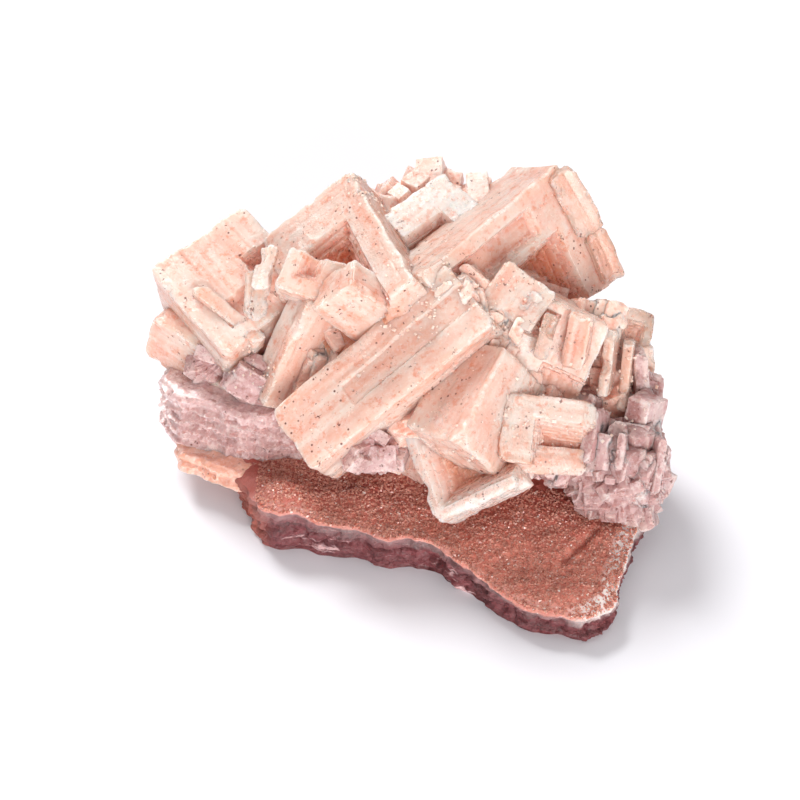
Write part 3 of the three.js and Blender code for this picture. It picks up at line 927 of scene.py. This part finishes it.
def grain_finish(name):
    """Loose grains: each from brick red to pale pink by its own tone, with bright glassy faces."""
    n = Nodes(name)
    tone = n.mark("tone")
    colour = n.mix(n.ramp(tone, 0.0, 0.8), (0.46, 0.11, 0.075), (0.76, 0.33, 0.25))
    colour = n.mix(n.ramp(tone, 0.965, 1.0), colour, (0.95, 0.8, 0.72))
    colour = n.mix(n.math("MULTIPLY", n.noise(1800.0, 2.0), 0.3), colour, (0.6, 0.3, 0.24))
    n.link(colour, n.shader.inputs["Base Color"])
    n.link(n.ramp(n.noise(900.0, 2.0), 0.2, 1.4), n.shader.inputs["Roughness"])
    n.set(Subsurface_Weight=0.4, Subsurface_Scale=0.001, IOR=1.544)
    n.shader.inputs["Subsurface Radius"].default_value = (1.0, 0.5, 0.4)
    return n.material


# ---- the specimen ----

# Each finish of halite: its pale, peach and deep colours, how much it absorbs a metre, how far light
# spreads in it in metres, and how clear it is.
HALITE = {
    "milky_halite": dict(pale=(0.97, 0.75, 0.66), peach=(0.94, 0.6, 0.49), deep=(0.8, 0.28, 0.15),
                         density=30.0, milky=0.003, clear=0.25),
    "druse_halite": dict(pale=(0.93, 0.66, 0.57), peach=(0.9, 0.54, 0.43), deep=(0.74, 0.28, 0.16),
                         density=20.0, milky=0.001, clear=0.12),
    "clear_halite": dict(pale=(0.98, 0.77, 0.67), peach=(0.96, 0.63, 0.5), deep=(0.86, 0.34, 0.2),
                         density=30.0, milky=0.003, clear=0.55),
    # Near white: partly frosted salt and partly a painted reflection of the light from above on the hoppers'
    # tops and rims.
    "frosted_and_sheen_halite": dict(pale=(0.99, 0.91, 0.87), peach=(0.97, 0.79, 0.72), deep=(0.76, 0.32, 0.19),
                         density=10.0, milky=0.002, clear=0.2),
    "mauve_halite": dict(pale=(0.7, 0.46, 0.45), peach=(0.55, 0.31, 0.3), deep=(0.36, 0.11, 0.09),
                         density=24.0, milky=0.0015, clear=0.2),
    "crumb_halite": dict(pale=(0.96, 0.76, 0.67), peach=(0.94, 0.62, 0.5), deep=(0.9, 0.45, 0.3),
                         density=8.0, milky=0.0003, clear=0.1),
}
halite = {name: halite_finish(name, **values) for name, values in HALITE.items()}
crust = crust_finish("salt_crust")
grains = grain_finish("loose_grains")

# The hoppers in the near-white finish, whose whiteness is partly painted reflection.
FROSTED_AND_SHEEN = {"white_hopper", "v_hopper", "white_hopper_step"}
MAUVE = {"right_sliver_far", "far_right_small_cube"}
CLEAR = {"peak_plate", "peak_plate_low", "step_cube_chip", "far_right_cube"}
MAUVE_DRUSE = {"druse_right", "druse_under_bar", "druse_left_foot"}


def halite_for(name):
    """Which finish a crystal has."""
    if name in FROSTED_AND_SHEEN:
        return halite["frosted_and_sheen_halite"]
    if name in MAUVE:
        return halite["mauve_halite"]
    return halite["clear_halite"] if name in CLEAR else halite["milky_halite"]


surfaces = []
for number, (name, spec) in enumerate(CRYSTALS.items()):
    surfaces.append(crystal_piece(name, spec, 100 + 7 * number, halite_for(name)))

for number, (name, spec) in enumerate(PLATES.items()):
    finish = halite["druse_halite"] if name.startswith("fill") else halite["mauve_halite"]
    surfaces.append(laminated_mass(name, spec, 500 + 100 * number, finish))

for number, (name, spec) in enumerate(DRUSE.items()):
    finish = halite["mauve_halite"] if name in MAUVE_DRUSE else halite["druse_halite"]
    lowest = SLAB_THICKNESS - 1.5 if name != "druse_left_foot" else LEDGE_BAND[1] - 2.0
    druse_piece(name, spec, 300 + 11 * number, finish, lowest)

for number, (name, spec) in enumerate(CRUMBS.items()):
    crumb_patch(name, spec, 700 + number, halite["crumb_halite"], np.concatenate(surfaces)[::3])

points, faces, marks = crust_layer(SLAB_OUTLINE, 0.0, slab_height, SLAB_SEED, 120, 600, 1.6, 30)
make_piece("slab", points, faces, marks, crust, "crust_slab", 50)

top = level_top(FLANGE_BAND[1])
points, faces, marks = crust_layer(FLANGE_OUTLINE, FLANGE_BAND[0], top, 431, 60, 300, 1.8, 10)
rim = marks["rim"]
# Painted shade deepens the flange's colour away from its rim; the rim is whitened, partly frost and partly
# painted highlight.
marks = {"recess_shade": 0.35 * (1.0 - rim), "frost_and_highlight": 0.4 * rim, "band": np.full_like(rim, 0.6)}
make_piece("flange", points, faces, marks, halite["druse_halite"], "crust_slab", 50)

top = level_top(LEDGE_BAND[1])
points, faces, marks = crust_layer(LEDGE_OUTLINE, LEDGE_BAND[0], top, 461, 70, 400, 1.2, 34, 1.1)
marks = {label: np.full(len(points), value) for label, value in LEDGE_MARKS.items()}
make_piece("ledge", points, faces, marks, halite["mauve_halite"], "crust_slab", 50)

slab_line = smooth_outline(SLAB_OUTLINE, 600, SLAB_SEED, 1.6)[0][::4]
GRAIN_SIDES = {
    "slab_grains_left": dict(seed=801, near=(-32, -24), far=(10, 2)),
    "slab_grains_right": dict(seed=802, near=(8, -42), far=(52, -6)),
}
for name, side in GRAIN_SIDES.items():
    grain_sprinkle(name, GRAINS_A_SIDE, material=grains, size=GRAIN_SIZES, line=slab_line, **side)

# ---- floor, light and camera ----


def studio_floor():
    """A plain pale floor."""
    mesh = bpy.data.meshes.new("floor")
    far = 3.0
    mesh.from_pydata([(-far, -far, 0), (far, -far, 0), (far, far, 0), (-far, far, 0)], [], [(0, 1, 2, 3)])
    material = bpy.data.materials.new("floor_paper")
    material.use_nodes = True
    shader = material.node_tree.nodes["Principled BSDF"]
    shader.inputs["Base Color"].default_value = (0.84, 0.85, 0.9, 1.0)
    shader.inputs["Roughness"].default_value = 0.7
    mesh.materials.append(material)
    floor = bpy.data.objects.new("floor", mesh)
    bpy.context.scene.collection.objects.link(floor)


def soft_sun(name, toward, spread, strength, colour):
    """A broad even light that comes from a direction, as from a large window far away."""
    data = bpy.data.lights.new(name, "SUN")
    data.angle = math.radians(spread)
    data.energy = strength
    data.color = colour
    lamp = bpy.data.objects.new(name, data)
    lamp.rotation_euler = Vector(toward).to_track_quat("Z", "Y").to_euler()
    bpy.context.scene.collection.objects.link(lamp)


def studio_sky():
    """Soft light from all round, dim at the horizon and brighter overhead."""
    world = bpy.data.worlds.new("studio")
    bpy.context.scene.world = world
    world.use_nodes = True
    sky = world.node_tree
    spot = sky.nodes.new("ShaderNodeTexCoord")
    height = sky.nodes.new("ShaderNodeSeparateXYZ")
    sky.links.new(spot.outputs["Generated"], height.inputs["Vector"])
    brighter = sky.nodes.new("ShaderNodeMapRange")
    brighter.inputs["To Min"].default_value = 0.06
    brighter.inputs["To Max"].default_value = 0.68
    sky.links.new(height.outputs["Z"], brighter.inputs["Value"])
    sky.links.new(brighter.outputs["Result"], sky.nodes["Background"].inputs["Strength"])
    sky.nodes["Background"].inputs["Color"].default_value = (1.0, 0.97, 0.96, 1.0)


def light_paths(scene):
    """Enough bounces for light to pass through several crystals, and plain colours."""
    scene.view_settings.view_transform = "Standard"
    scene.cycles.max_bounces = 24
    scene.cycles.diffuse_bounces = 10
    scene.cycles.transmission_bounces = 20


CAMERA_TILT = 40.0
CAMERA_DISTANCE = 459.0
LOOK_AT = np.array([-2.0, 0.0, 28.0]) - MIDDLE


def viewer():
    """A long lens in front of the specimen, tilted down at it from CAMERA_DISTANCE away."""
    camera = bpy.data.cameras.new("camera")
    camera.lens = 100.0
    camera.sensor_width = 36.0
    camera.clip_start = 0.01
    camera.clip_end = 20.0
    tilt = math.radians(CAMERA_TILT)
    stand = LOOK_AT + CAMERA_DISTANCE * np.array([0.0, -math.cos(tilt), math.sin(tilt)])
    holder = bpy.data.objects.new("camera", camera)
    holder.location = stand * MM
    holder.rotation_euler = (math.pi / 2 - tilt, 0.0, 0.0)
    bpy.context.scene.collection.objects.link(holder)
    bpy.context.scene.camera = holder


studio_floor()
soft_sun("behind_left", (-0.36, 0.6, 0.72), 24.0, 3.0, (1.0, 0.985, 0.975))
soft_sun("front_fill", (0.16, -0.97, 0.18), 36.0, 3.7, (1.0, 0.98, 0.965))
studio_sky()
light_paths(bpy.context.scene)
viewer()
